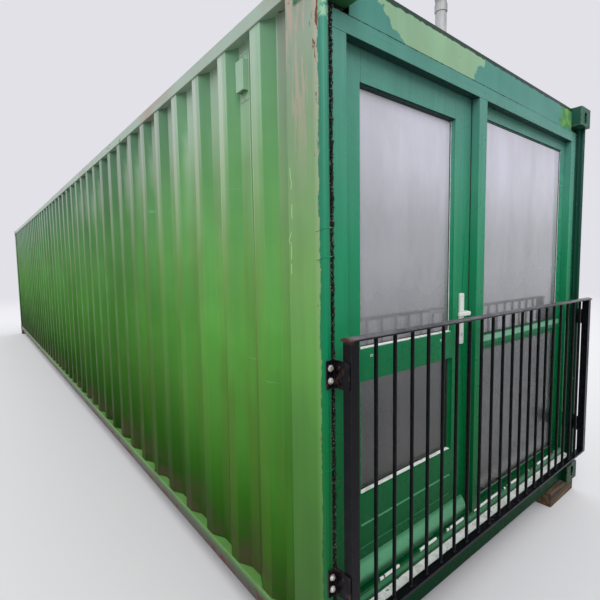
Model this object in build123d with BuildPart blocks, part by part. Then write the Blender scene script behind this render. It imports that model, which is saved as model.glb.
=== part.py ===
from build123d import *
import os

# A forty foot steel container turned into a small house.
# Millimetres, +Z up.  +X is to the right and +Y runs away from someone who faces the glazed end.
# The origin is under the middle of the whole thing, on the ground.

# Overall shell
length = 12192
width = 2438
height = 2591
block_height = 100
skin_recess = 3
rail_recess = 4
panel_recess = 10
round_sides = 16
bar_sides = 10

# Corner castings
casting_depth = 178
casting_width = 162
casting_height = 118
casting_wall = 19
casting_web = 28
casting_edge = 5
top_slot_length = 124.5
top_slot_width = 63.5
side_slot_length = 79.5
side_slot_width = 51
slot_from_end = 103.5
slot_from_side = 89.5

# Corner posts
front_post_face = 23
front_post_flange = 28
front_post_step = 24
front_post_width = 50
front_post_depth = 225
front_post_wall = 6
front_post_radius = 12
rear_post_width = 103
rear_post_recess = 5
rear_post_wall = 6
rear_post_radius = 12

# Long rails
top_rail_size = 60
top_rail_wall = 4
top_rail_drop = 6
bottom_rail_clear = 14
bottom_rail_top = 100
bottom_rail_flange = 50
bottom_rail_wall = 5

# End members
header_face = 59
header_depth = 149
header_drop = 5
header_wall = 5
sill_face = 40
sill_top = 150
sill_wall = 5
rear_member_recess = 10

# Corrugated sheets
sheet = 2
side_depth = 36
side_outer_flat = 72
side_slope = 68
side_inner_least = 72
side_lead = 337
rear_depth = 45.6
rear_outer_flat = 110
rear_slope = 18
rear_inner_least = 90
rear_lead = 175
roof_depth = 20
roof_outer_flat = 91
roof_slope = 13.5
roof_inner_least = 92
roof_lead = 230
roof_margin = 35
roof_taper = 45

# Floor
floor_thickness = 28
floor_side_gap = 4
member_height = 122
member_flange = 45
member_wall = 4
member_count = 31
member_lead = 330

# Supports
block_length = 400
block_width = 220
block_front = 20

# Glazed screen
seat = 0.3
screen_side = 78
screen_depth = 70
frame_face = 70
head_face = 64
bottom_face = 58
mullion_left = 1074
mullion_face = 75
lip_depth = 41
rebate = 15
cill_height = 32
cill_face = 30
cill_fall = 6

# Door leaf
leaf_gap = 5
leaf_front = 105
leaf_thickness = 60
leaf_swing_gap = 8
stile_left = 264
stile_right = 934
door_head_rail = 120
door_mid_top = 1222
door_mid_bottom = 1090
door_low_bottom = 612
panel_grooves = (376, 481)
groove = 6
glass_front = 130
glass_thickness = 24
glass_hold = 12

# Weather board
board_left = 165
board_right = 1035
board_bottom = 247
board_top = 334
board_depth = 32
board_lip = 6
board_bulge_depth = 26
board_bulge_height = 51

# Door hinges
pivot_x = 133
pivot_y = 175
knuckle_radius = 8
pin_radius = 4
pin_clearance = 0.3
knuckle_length = 40
hinge_inset = 180
hinge_flap = 45
hinge_plate = 4

# Door handle
handle_x = 1005
handle_z = 1315
plate_width = 38
plate_bottom = 1153
plate_top = 1413
plate_depth = 9
plate_corner = 5
lever_length = 106
lever_reach = 45
lever_half_height = 10
lever_half_depth = 7
lever_bend = 16
lever_edge = 3
spindle_radius = 5
spindle_hole = 6

# Fixed light
light_front = 100
light_depth = 29
light_member = 62
light_foot = 14
light_glass_front = 108
light_glass_thickness = 16
light_glass_hold = 10
transom_bottom = 1097
transom_top = 1171
transom_edge = 1136
transom_under = 1115

# Sealant
bead_front = 62
bead_back = 84
packer_front = 80
packer_back = 100

# Railing
rail_stand_off = 65
railing_left = 42
railing_post = 40
railing_front = 60
railing_top = 1317
railing_bottom = 222
handrail_width = 50
handrail_thickness = 14
handrail_edge = 5
handrail_overhang = 8
foot_rail_thickness = 12
bar_radius = 8
bar_count = 20
bracket_heights = (411, 1183)
bracket_height = 100
bracket_thickness = 6
bracket_edge = 1
bracket_round = 15
bracket_tuck = 5

# Side vents
vent_width = 62
vent_drop = 101
vent_height = 205
vent_box_drop = 40
vent_box_height = 128
vent_plate = 2
vent_box_depth = 26
vent_wall = 2

# Roof pipe
pipe_x = 1409
pipe_ridge = 1
pipe_radius = 34
pipe_wall = 2
pipe_sides = 12
pipe_rise = 560
pipe_below = 140
pipe_bend_radius = 90
pipe_bend_angle = 60
pipe_end = 90
socket_radius = 38
socket_length = 45
collar_radius = 44
collar_height = 30

# Datums
left = -width / 2
front = -(length - rail_stand_off) / 2
rear = front + length
base = block_height
top = base + height
casting_back = front + casting_depth
rear_casting_front = rear - casting_depth
floor_bottom = base + bottom_rail_clear + member_height
floor_top = floor_bottom + floor_thickness
roof_underside = top - top_rail_drop - top_rail_size
screen_front = front + header_face
screen_back = screen_front + screen_depth
screen_bottom = base + sill_top + cill_height
screen_top = top - header_depth
screen_right = width - screen_side
light_left = mullion_left + mullion_face
light_right = screen_right - frame_face
light_bottom = screen_bottom + bottom_face
light_top = screen_top - head_face
hinge_heights = (light_bottom + hinge_inset, (light_bottom + light_top) / 2, light_top - hinge_inset)

os.makedirs("parts", exist_ok=True)


def save(piece, name):
    piece.part.label = name
    export_step(piece.part, f"parts/{name}.step")


def slab(x0, x1, y0, y1, z0, z1, mode=Mode.ADD):
    """A plain block between two corners, added to the part being built."""
    with Locations(((x0 + x1) / 2, (y0 + y1) / 2, (z0 + z1) / 2)):
        Box(abs(x1 - x0), abs(y1 - y0), abs(z1 - z0), mode=mode)


def wave(start, pitch, count, flat, slope, crest, trough):
    """Points of a corrugated line: (distance along, level), ridges at the crest level."""
    points = []
    for ridge in range(count):
        at = start + ridge * pitch
        points += [(at, trough), (at + slope, crest)]
        points += [(at + slope + flat, crest), (at + 2 * slope + flat, trough)]
    return points


def sheet_outline(points, start, end, trough, thickness):
    """A corrugated line closed into a thin sheet, thickened towards plus."""
    line = [(start, trough)] + points + [(end, trough)]
    return line + [(at, level + thickness) for at, level in reversed(line)]


# Corner castings
def slot_outline(overall, across):
    """A slot along x whose round ends have few faces."""
    reach = (overall - across) / 2
    with Locations((-reach, 0), (reach, 0)):
        RegularPolygon(across / 2, round_sides)
    Rectangle(2 * reach, across)


def corner_casting(side, end, level, name):
    """side -1 left or 1 right, end -1 front or 1 rear, level -1 bottom or 1 top."""
    outer_x = side * width / 2
    inner_x = outer_x - side * casting_width
    outer_y = front if end < 0 else rear
    inner_y = outer_y - end * casting_depth
    outer_z = base if level < 0 else top
    inner_z = outer_z - level * casting_height
    slot_x = outer_x - side * slot_from_side
    slot_y = outer_y - end * slot_from_end
    slot_z = outer_z - level * (casting_web + casting_height - casting_wall / 2) / 2
    with BuildPart() as casting:
        slab(outer_x, inner_x, outer_y, inner_y, outer_z, inner_z)
        chamfer(casting.edges().filter_by(Axis.Z), casting_edge)
        slab(outer_x - side * casting_wall, inner_x + side * casting_wall,
             outer_y - end * casting_wall, inner_y + end * casting_wall,
             outer_z - level * casting_web, inner_z + level * casting_wall / 2, Mode.SUBTRACT)
        with BuildSketch(Plane(origin=(slot_x, slot_y, outer_z), x_dir=(0, 1, 0), z_dir=(0, 0, 1))):
            slot_outline(top_slot_length, top_slot_width)
        extrude(amount=-level * casting_web, mode=Mode.SUBTRACT)
        with BuildSketch(Plane(origin=(slot_x, outer_y, slot_z), x_dir=(0, 0, 1), z_dir=(0, end, 0))):
            slot_outline(side_slot_length, side_slot_width)
        extrude(amount=-casting_wall, mode=Mode.SUBTRACT)
        with BuildSketch(Plane(origin=(outer_x, slot_y, slot_z), x_dir=(0, 1, 0), z_dir=(side, 0, 0))):
            slot_outline(side_slot_length, side_slot_width)
        extrude(amount=-casting_wall, mode=Mode.SUBTRACT)
    save(casting, name)


for level, level_name in ((-1, "bottom"), (1, "top")):
    for end, end_name in ((-1, "front"), (1, "rear")):
        for side, side_name in ((-1, "left"), (1, "right")):
            corner_casting(side, end, level, f"casting_{level_name}_{end_name}_{side_name}")


# Corner posts
def front_post(side, name):
    outer = side * (width / 2 - skin_recess)
    flange = side * (width / 2 - front_post_flange)
    inner = side * (width / 2 - front_post_width)
    face = front + front_post_face
    step = face + front_post_step
    back = front + front_post_depth
    with BuildPart() as post:
        with BuildSketch(Plane.XY.offset(base + casting_height)) as section:
            Polygon((outer, face), (flange, face), (flange, step), (inner, step), (inner, back),
                    (outer, back), align=None)
            fillet(section.vertices().group_by(Axis.Y)[0], front_post_radius)
            offset(amount=-front_post_wall, mode=Mode.SUBTRACT)
        extrude(amount=height - 2 * casting_height)
        slab(outer, inner, casting_back, back, base + bottom_rail_top, base + casting_height)
        slab(outer, inner, casting_back, back, top - casting_height, roof_underside)
    save(post, name)


def rear_post(side, name):
    outer = side * (width / 2 - skin_recess)
    inner = side * (width / 2 - rear_post_width)
    with BuildPart() as post:
        slab(outer, inner, rear_casting_front, rear - rear_post_recess,
             base + casting_height, top - casting_height)
        fillet(post.edges().filter_by(Axis.Z).group_by(Axis.Y)[-1], rear_post_radius)
        slab(outer - side * rear_post_wall, inner + side * rear_post_wall,
             rear_casting_front + rear_post_wall, rear - rear_post_recess - rear_post_wall,
             base + casting_height, top - casting_height, Mode.SUBTRACT)
    save(post, name)


for side, side_name in ((-1, "left"), (1, "right")):
    front_post(side, f"corner_post_front_{side_name}")
    rear_post(side, f"corner_post_rear_{side_name}")


# Long rails
def top_rail(side, name):
    outer = side * (width / 2 - rail_recess)
    inner = outer - side * top_rail_size
    with BuildPart() as rail:
        slab(outer, inner, casting_back, rear_casting_front, roof_underside, roof_underside + top_rail_size)
        slab(outer - side * top_rail_wall, inner + side * top_rail_wall, casting_back, rear_casting_front,
             roof_underside + top_rail_wall, roof_underside + top_rail_size - top_rail_wall, Mode.SUBTRACT)
    save(rail, name)


def bottom_rail(side, name):
    outer = side * (width / 2 - rail_recess)
    inner = outer - side * bottom_rail_flange
    low = base + bottom_rail_clear
    high = base + bottom_rail_top
    with BuildPart() as rail:
        slab(outer, inner, casting_back, rear_casting_front, low, high)
        slab(outer - side * bottom_rail_wall, inner, casting_back, rear_casting_front,
             low + bottom_rail_wall, high - bottom_rail_wall, Mode.SUBTRACT)
    save(rail, name)


for side, side_name in ((-1, "left"), (1, "right")):
    top_rail(side, f"top_rail_{side_name}")
    bottom_rail(side, f"bottom_rail_{side_name}")

# End members
beam_end = width / 2 - casting_width
with BuildPart() as front_header:
    slab(-beam_end, beam_end, screen_front, casting_back, screen_top, top - header_drop)
    slab(-beam_end, beam_end, screen_front + header_wall, casting_back - header_wall,
         screen_top + header_wall, top - header_drop - header_wall, Mode.SUBTRACT)
save(front_header, "front_header")

with BuildPart() as rear_header:
    slab(-beam_end, beam_end, rear_casting_front, rear - rear_member_recess,
         top - casting_height, top - header_drop)
    slab(-beam_end, beam_end, rear_casting_front + header_wall, rear - rear_member_recess - header_wall,
         top - casting_height + header_wall, top - header_drop - header_wall, Mode.SUBTRACT)
save(rear_header, "rear_header")

with BuildPart() as front_sill:
    slab(-beam_end, beam_end, front + sill_face, casting_back, base + bottom_rail_clear, base + sill_top)
    slab(-beam_end, beam_end, front + sill_face + sill_wall, casting_back - sill_wall,
         base + bottom_rail_clear + sill_wall, base + sill_top - sill_wall, Mode.SUBTRACT)
    post_inside = width / 2 - front_post_width
    for side in (-1, 1):
        slab(side * beam_end, side * post_inside, front + sill_face, casting_back,
             base + casting_height, base + sill_top)
save(front_sill, "front_sill")

with BuildPart() as rear_sill:
    slab(-beam_end, beam_end, rear_casting_front, rear - rear_member_recess,
         base + bottom_rail_clear, base + casting_height)
    slab(-beam_end, beam_end, rear_casting_front + sill_wall, rear - rear_member_recess - sill_wall,
         base + bottom_rail_clear + sill_wall, base + casting_height - sill_wall, Mode.SUBTRACT)
save(rear_sill, "rear_sill")

# Corrugated walls and roof
def ridge_count(run, flat, slope, inner_least):
    """As many ridges as fit the run with at least this much flat between them."""
    return int((run + inner_least) / (flat + 2 * slope + inner_least))


def inner_flat(run, count, flat, slope):
    """The flat between two ridges that makes the pattern fill its run."""
    return (run - count * (flat + 2 * slope)) / (count - 1)


side_run = length - 2 * side_lead
side_ridge_count = ridge_count(side_run, side_outer_flat, side_slope, side_inner_least)
side_inner_flat = inner_flat(side_run, side_ridge_count, side_outer_flat, side_slope)
side_pitch = side_outer_flat + 2 * side_slope + side_inner_flat
side_crest = left + panel_recess
side_trough = side_crest + side_depth
side_wave = wave(front + side_lead, side_pitch, side_ridge_count, side_outer_flat, side_slope,
                 side_crest, side_trough)
side_line = sheet_outline(side_wave, front + front_post_depth, rear_casting_front, side_trough, sheet)
for side, side_name in ((-1, "left"), (1, "right")):
    with BuildPart() as side_wall:
        with BuildSketch(Plane.XY.offset(base + bottom_rail_top)):
            with BuildLine():
                Polyline([(-side * level, at) for at, level in side_line], close=True)
            make_face()
        extrude(amount=roof_underside - base - bottom_rail_top)
    save(side_wall, f"side_wall_{side_name}")

rear_inside = width / 2 - rear_post_width
rear_run = width - 2 * rear_lead
rear_ridge_count = ridge_count(rear_run, rear_outer_flat, rear_slope, rear_inner_least)
rear_inner_flat = inner_flat(rear_run, rear_ridge_count, rear_outer_flat, rear_slope)
rear_pitch = rear_outer_flat + 2 * rear_slope + rear_inner_flat
rear_crest = rear - panel_recess
rear_wave = wave(left + rear_lead, rear_pitch, rear_ridge_count, rear_outer_flat, rear_slope,
                 rear_crest, rear_crest - rear_depth)
rear_line = sheet_outline(rear_wave, -rear_inside, rear_inside, rear_crest - rear_depth, -sheet)
with BuildPart() as rear_wall:
    with BuildSketch(Plane.XY.offset(base + casting_height)):
        with BuildLine():
            Polyline(rear_line, close=True)
        make_face()
    extrude(amount=height - 2 * casting_height)
save(rear_wall, "rear_wall")

roof_inside = width / 2 - rail_recess - top_rail_size
roof_run = length - 2 * roof_lead
roof_ridge_count = ridge_count(roof_run, roof_outer_flat, roof_slope, roof_inner_least)
roof_inner_flat = inner_flat(roof_run, roof_ridge_count, roof_outer_flat, roof_slope)
roof_pitch = roof_outer_flat + 2 * roof_slope + roof_inner_flat
roof_crest = roof_underside + top_rail_size - sheet
roof_flat = roof_crest - roof_depth
first_rib = front + roof_lead + roof_slope + roof_outer_flat / 2
rib_places = [first_rib + rib * roof_pitch for rib in range(roof_ridge_count)]
pipe_y = rib_places[pipe_ridge]
pipe_at = (left + pipe_x, pipe_y)
rib_foot = roof_inside - roof_margin
rib_crown = rib_foot - roof_taper
rib_half = roof_outer_flat / 2
with BuildPart() as roof_rib:
    with BuildSketch(Plane.YZ):
        Polygon((-rib_half - roof_slope, 0), (rib_half + roof_slope, 0), (rib_half, roof_depth),
                (-rib_half, roof_depth), align=None)
    extrude(amount=rib_foot, both=True)
    with BuildSketch(Plane.XZ):
        Polygon((-rib_foot, 0), (rib_foot, 0), (rib_crown, roof_depth),
                (-rib_crown, roof_depth), align=None)
    extrude(amount=rib_half + roof_slope, both=True, mode=Mode.INTERSECT)

with BuildPart() as roof_panel:
    slab(-roof_inside, roof_inside, casting_back, rear_casting_front, roof_flat - sheet, roof_flat)
    with Locations([(0, place, roof_flat) for place in rib_places]):
        add(roof_rib.part)
    with Locations([(0, place, roof_flat - sheet) for place in rib_places]):
        add(roof_rib.part, mode=Mode.SUBTRACT)
    with BuildSketch(Plane.XY.offset(roof_flat)):
        with Locations(pipe_at):
            Circle(pipe_radius + seat)
    extrude(amount=2 * roof_depth, mode=Mode.SUBTRACT)
save(roof_panel, "roof_panel")

# Floor and what carries it
floor_side = width / 2 - panel_recess - side_depth - sheet - floor_side_gap
floor_end = rear_crest - rear_depth - sheet - floor_side_gap
with BuildPart() as floor:
    slab(-floor_side, floor_side, casting_back, rear_casting_front - seat, floor_bottom, floor_top)
    slab(-rear_inside + seat, rear_inside - seat, rear_casting_front - seat, floor_end,
         floor_bottom, floor_top)
save(floor, "floor")

member_half = width / 2 - rail_recess - bottom_rail_flange
member_run = length - 2 * member_lead
member_pitch = member_run / (member_count - 1)
with BuildPart() as cross_members:
    for member in range(member_count):
        y = front + member_lead + member * member_pitch
        low = floor_bottom - member_height
        slab(-member_half, member_half, y, y + member_flange, low, floor_bottom)
        slab(-member_half, member_half, y + member_wall, y + member_flange,
             low + member_wall, floor_bottom - member_wall, Mode.SUBTRACT)
save(cross_members, "cross_members")

# Timber blocks under the corners
for end, end_name in ((-1, "front"), (1, "rear")):
    for side, side_name in ((-1, "left"), (1, "right")):
        block_outer = side * width / 2
        block_inner = block_outer - side * block_length
        block_y = end * length / 2 + (front + rear) / 2 - end * block_front
        with BuildPart() as timber_block:
            slab(block_outer, block_inner, block_y, block_y - end * block_width, 0, base)
        save(timber_block, f"timber_block_{end_name}_{side_name}")


# Glazed screen frame: bars with a lip in front and a rebate behind it, the uprights between the crossbars
lip_back = screen_front + lip_depth
jamb_edge = screen_side + frame_face


def upright(outer, lip_edge, step_outer, step_edge, name):
    """Edges are measured from the left of the shell."""
    with BuildPart() as bar:
        slab(left + outer, left + lip_edge, screen_front, lip_back, light_bottom, light_top)
        slab(left + step_outer, left + step_edge, lip_back, screen_back,
             light_bottom - rebate, light_top + rebate)
    save(bar, name)


upright(screen_side, jamb_edge, screen_side, jamb_edge - rebate, "frame_jamb_left")
upright(mullion_left, light_left, mullion_left + rebate, light_left, "frame_mullion")
upright(screen_right, light_right, screen_right, light_right, "frame_jamb_right")


def crossbar(outer_z, lip_z, step_z, name):
    with BuildPart() as bar:
        slab(left + screen_side, left + screen_right, screen_front, lip_back, outer_z, lip_z)
        slab(left + screen_side, left + screen_right, lip_back, screen_back, outer_z, step_z)
    save(bar, name)


crossbar(screen_top, light_top, light_top + rebate, "frame_head")
crossbar(screen_bottom, light_bottom, light_bottom - rebate, "frame_bottom_rail")

with BuildPart() as window_cill:
    with BuildSketch(Plane.YZ.offset(left + screen_side)):
        with BuildLine():
            nose = front + cill_face
            Polyline([(nose, base + sill_top), (screen_back, base + sill_top), (screen_back, screen_bottom),
                      (screen_front, screen_bottom), (nose, screen_bottom - cill_fall)], close=True)
        make_face()
    extrude(amount=screen_right - screen_side)
save(window_cill, "window_cill")


# Glazing
def pane(x0, x1, y0, thickness, z0, z1, hold):
    slab(x0 - hold + seat, x1 + hold - seat, y0 + seat, y0 + thickness - seat, z0 - hold + seat,
         z1 + hold - seat)


def glazed_hole(x0, x1, z0, z1, y_face, y_back, y_glass, thickness, hold):
    """A hole through a frame with a groove all round that holds the pane."""
    slab(x0, x1, y_face, y_back, z0, z1, Mode.SUBTRACT)
    slab(x0 - hold, x1 + hold, y_glass, y_glass + thickness, z0 - hold, z1 + hold, Mode.SUBTRACT)


light_y = front + light_front
light_back = light_y + light_depth
light_x0 = left + light_left + seat
light_x1 = left + light_right - seat
light_holes = ((base + transom_top, light_top - light_member),
               (light_bottom + light_foot, base + transom_bottom))
light_glass_y = front + light_glass_front
with BuildPart() as fixed_light_frame:
    slab(light_x0, light_x1, light_y, light_back, light_bottom - rebate + seat, light_top + rebate - seat)
    for low, high in light_holes:
        glazed_hole(light_x0 + light_member, light_x1 - light_member, low, high, light_y, light_back,
                    light_glass_y, light_glass_thickness, light_glass_hold)
    for edge, arris in ((transom_edge, transom_top), (transom_under, transom_bottom)):
        with BuildSketch(Plane.YZ.offset(light_x0 + light_member)):
            Polygon((light_y, base + edge), (light_y, base + arris),
                    (light_glass_y, base + arris), align=None)
        extrude(amount=light_x1 - light_x0 - 2 * light_member, mode=Mode.SUBTRACT)
save(fixed_light_frame, "fixed_light_frame")

with BuildPart() as fixed_light_glass:
    for low, high in light_holes:
        pane(light_x0 + light_member, light_x1 - light_member, light_glass_y, light_glass_thickness,
             low, high, light_glass_hold)
save(fixed_light_glass, "fixed_light_glass")

# Door leaf
leaf_x0 = left + jamb_edge - rebate + leaf_gap
leaf_x1 = left + mullion_left + rebate - leaf_swing_gap
leaf_z0 = light_bottom - rebate + leaf_gap
leaf_z1 = light_top + rebate - leaf_gap
leaf_y0 = front + leaf_front
leaf_y1 = leaf_y0 + leaf_thickness
through_leaf = 2 * (leaf_thickness + 2 * plate_depth)
door_holes = ((base + door_mid_top, light_top - door_head_rail),
              (base + door_low_bottom, base + door_mid_bottom))
door_x0 = left + stile_left
door_x1 = left + stile_right
pivot = (left + pivot_x, front + pivot_y)
with BuildPart() as door_leaf:
    slab(leaf_x0, leaf_x1, leaf_y0, leaf_y1, leaf_z0, leaf_z1)
    for low, high in door_holes:
        glazed_hole(door_x0, door_x1, low, high, leaf_y0, leaf_y1, front + glass_front,
                    glass_thickness, glass_hold)
    for groove_z in panel_grooves:
        with BuildSketch(Plane.YZ.offset(door_x0)):
            Polygon((leaf_y0, base + groove_z - groove), (leaf_y0, base + groove_z + groove),
                    (leaf_y0 + groove, base + groove_z), align=None)
        extrude(amount=door_x1 - door_x0, mode=Mode.SUBTRACT)
    with Locations(Location((left + handle_x, leaf_y0, base + handle_z), (-90, 0, 0))):
        Cylinder(spindle_hole, through_leaf, mode=Mode.SUBTRACT)
save(door_leaf, "door_leaf")

with BuildPart() as door_glass:
    for low, high in door_holes:
        pane(door_x0, door_x1, front + glass_front, glass_thickness, low, high, glass_hold)
save(door_glass, "door_glass")

with BuildPart() as weather_board:
    with BuildSketch(Plane.YZ.offset(left + board_left)):
        with BuildLine():
            nose_y = leaf_y0 - board_depth
            bulge = ThreePointArc((leaf_y0, base + board_top),
                                  (leaf_y0 - board_bulge_depth, base + board_bottom + board_bulge_height),
                                  (nose_y, base + board_bottom + board_lip))
            Polyline(bulge @ 1, (nose_y, base + board_bottom), (leaf_y0, base + board_bottom),
                     (leaf_y0, base + board_top))
        make_face()
    extrude(amount=board_right - board_left)
save(weather_board, "weather_board")

# Door handle
handle_at = (left + handle_x, leaf_y0, base + handle_z)
with BuildPart() as handle_plate:
    for face_y, way in ((leaf_y0, -1), (leaf_y1, 1)):
        slab(handle_at[0] - plate_width / 2, handle_at[0] + plate_width / 2,
             face_y, face_y + way * plate_depth, base + plate_bottom, base + plate_top)
    chamfer(handle_plate.edges().filter_by(Axis.Y), plate_corner)
    with Locations(Location((handle_at[0], leaf_y0, handle_at[2]), (-90, 0, 0))):
        Cylinder(spindle_hole, through_leaf, mode=Mode.SUBTRACT)
save(handle_plate, "handle_plate")

lever_front = leaf_y0 - plate_depth - lever_reach
lever_back = leaf_y1 + plate_depth + lever_reach
with BuildPart() as door_lever:
    with BuildSketch(Plane.XZ.offset(-lever_front)):
        with Locations((handle_at[0], handle_at[2])):
            Circle(spindle_radius)
    extrude(amount=-(lever_back - lever_front))
    for way, face_y, arm_y in ((-1, leaf_y0, lever_front), (1, leaf_y1, lever_back)):
        neck = (handle_at[0], face_y + way * (plate_depth + seat), handle_at[2])
        with BuildLine(Plane.XY.offset(handle_at[2])):
            FilletPolyline(neck[:2], (handle_at[0], arm_y), (handle_at[0] - lever_length, arm_y),
                           radius=lever_bend)
        with BuildSketch(Plane(origin=neck, x_dir=(0, 0, 1), z_dir=(0, way, 0))) as section:
            Rectangle(2 * lever_half_height, 2 * lever_half_depth)
            chamfer(section.vertices(), lever_edge)
        sweep()
    chamfer(door_lever.edges().group_by(Axis.X)[0], lever_edge)
save(door_lever, "door_lever")


# Door hinges
def round_bar(radius, z0, z1, mode=Mode.ADD):
    with Locations((*pivot, z0)):
        Cylinder(radius, z1 - z0, align=(Align.CENTER, Align.CENTER, Align.MIN), mode=mode)


def barrel(z0, z1):
    """The outside of one knuckle, with few faces."""
    with BuildSketch(Plane.XY.offset(z0)) as outline:
        with Locations(pivot):
            RegularPolygon(knuckle_radius, round_sides)
    extrude(outline.sketch, amount=z1 - z0)


web_x1 = pivot[0] - pin_radius
web_x0 = web_x1 - hinge_plate
with BuildPart() as hinge_pins:
    for z in hinge_heights:
        low = z - knuckle_length / 2 - knuckle_length
        high = z - knuckle_length / 2 - pin_clearance
        barrel(low, high)
        round_bar(pin_radius, high, z + knuckle_length / 2)
        slab(web_x0, web_x1, screen_back, pivot[1], low, high)
        slab(web_x0 - hinge_flap, web_x1, screen_back, screen_back + hinge_plate, low, high)
save(hinge_pins, "hinge_pins")

with BuildPart() as hinge_knuckles:
    for z in hinge_heights:
        low = z - knuckle_length / 2
        high = low + knuckle_length
        barrel(low, high)
        slab(pivot[0], pivot[0] + hinge_flap, leaf_y1, leaf_y1 + hinge_plate, low, high)
        slab(pivot[0] + pin_radius + pin_clearance, pivot[0] + knuckle_radius + hinge_plate,
             leaf_y1, pivot[1], low, high)
        round_bar(pin_radius + pin_clearance, low, high, Mode.SUBTRACT)
save(hinge_knuckles, "hinge_knuckles")

# Sealant round the screen
with BuildPart() as perimeter_sealant:
    for side in (-1, 1):
        post_side = side * (width / 2 - front_post_width)
        frame_side = side * (width / 2 - screen_side)
        slab(post_side, frame_side, front + bead_front, front + bead_back, base + sill_top,
             screen_top)
        slab(post_side, side * beam_end, front + packer_front, front + packer_back,
             screen_top, top - casting_height)
save(perimeter_sealant, "perimeter_sealant")

# Railing
rail_y0 = front - railing_front
rail_y1 = rail_y0 + railing_post
rail_x0 = left + railing_left
rail_x1 = -rail_x0
bars_y = (rail_y0 + rail_y1) / 2
bar_gap = (rail_x1 - rail_x0 - 2 * railing_post) / (bar_count + 1)
handrail_low = base + railing_top - handrail_thickness
foot_top = base + railing_bottom + foot_rail_thickness
with BuildPart() as front_railing:
    for side in (-1, 1):
        post_outer = side * rail_x1
        slab(post_outer, post_outer - side * railing_post, rail_y0, rail_y1,
             base + railing_bottom, handrail_low)
    slab(rail_x0, rail_x1, rail_y0, rail_y1, base + railing_bottom, foot_top)
    with BuildSketch(Plane.YZ.offset(rail_x0 - handrail_overhang)):
        with BuildLine():
            rail_front = front - rail_stand_off
            rail_back = rail_front + handrail_width
            edge_z = handrail_low + handrail_edge
            crown = ThreePointArc((rail_front, edge_z), ((rail_front + rail_back) / 2, base + railing_top),
                                  (rail_back, edge_z))
            Polyline(crown @ 1, (rail_back, handrail_low), (rail_front, handrail_low), crown @ 0)
        make_face()
    extrude(amount=rail_x1 - rail_x0 + 2 * handrail_overhang)
    with BuildSketch(Plane.XY.offset(foot_top)):
        first_bar = rail_x0 + railing_post + bar_gap
        with Locations([(first_bar + bar * bar_gap, bars_y) for bar in range(bar_count)]):
            RegularPolygon(bar_radius, bar_sides)
    extrude(amount=handrail_low - foot_top)
save(front_railing, "front_railing")

for side, side_name in ((-1, "left"), (1, "right")):
    with BuildPart() as railing_bracket:
        for z in bracket_heights:
            low = base + z - bracket_height / 2
            high = low + bracket_height
            face_y = front + front_post_face
            edge_x = side * (width / 2 - bracket_edge)
            post_x = side * rail_x1
            leg_x = post_x + side * bracket_thickness
            slab(leg_x, post_x, rail_y0 + bracket_tuck, face_y, low, high)
            slab(edge_x, post_x, face_y, face_y - bracket_thickness, low, high)
        fillet(railing_bracket.edges().filter_by(Axis.X).group_by(Axis.Y)[0], bracket_round)
    save(railing_bracket, f"railing_bracket_{side_name}")


# Side vents
def side_vent(side, way, name):
    """way 1 counts from the front end, -1 from the rear."""
    inset = side_lead + 2 * side_slope + side_outer_flat + side_inner_flat / 2
    y_middle = front + inset if way > 0 else rear - inset
    face = side * (width / 2 - panel_recess - side_depth)
    vent_top = top - vent_drop
    box_top = vent_top - vent_box_drop
    box_bottom = box_top - vent_box_height
    with BuildPart() as vent:
        slab(face, face + side * vent_plate, y_middle - vent_width / 2, y_middle + vent_width / 2,
             vent_top - vent_height, vent_top)
        slab(face + side * vent_plate, face + side * vent_box_depth, y_middle - vent_width / 2,
             y_middle + vent_width / 2, box_bottom, box_top)
        slab(face + side * vent_plate, face + side * (vent_box_depth - vent_wall),
             y_middle - vent_width / 2 + vent_wall, y_middle + vent_width / 2 - vent_wall,
             box_bottom, box_top - vent_wall, Mode.SUBTRACT)
    save(vent, name)


side_vent(-1, 1, "side_vent_left")
side_vent(1, -1, "side_vent_right")

# Roof pipe
def tube_outline(outer_radius):
    """A ring round the pipe's bore, with few faces."""
    RegularPolygon(outer_radius, pipe_sides)
    RegularPolygon(pipe_radius - pipe_wall, pipe_sides, mode=Mode.SUBTRACT)


pipe_foot = roof_crest - pipe_below
pipe_head = roof_crest + pipe_rise
with BuildPart() as roof_pipe:
    with BuildLine(Plane.XZ.offset(-pipe_y)):
        rise = Line((pipe_at[0], pipe_foot), (pipe_at[0], pipe_head))
        bend = JernArc(rise @ 1, rise % 1, pipe_bend_radius, pipe_bend_angle)
        Line(bend @ 1, bend @ 1 + (bend % 1) * pipe_end)
    with BuildSketch(Plane.XY.offset(pipe_foot)):
        with Locations(pipe_at):
            tube_outline(pipe_radius)
    sweep()
    with BuildSketch(Plane.XY.offset(pipe_head - socket_length)):
        with Locations(pipe_at):
            tube_outline(socket_radius)
    extrude(amount=socket_length)
    with BuildSketch(Plane.XY.offset(roof_crest)):
        with Locations(pipe_at):
            tube_outline(collar_radius)
    extrude(amount=collar_height)
save(roof_pipe, "roof_pipe")
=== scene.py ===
"""The looks of a container house: paint, rust, sealant, glazing beads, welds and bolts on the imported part.

Metres, +Z up. The glazed front end faces -Y.
"""
import math
import random
from functools import partialmethod

import bmesh
import bpy
from mathutils import Matrix, Vector, noise


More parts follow.
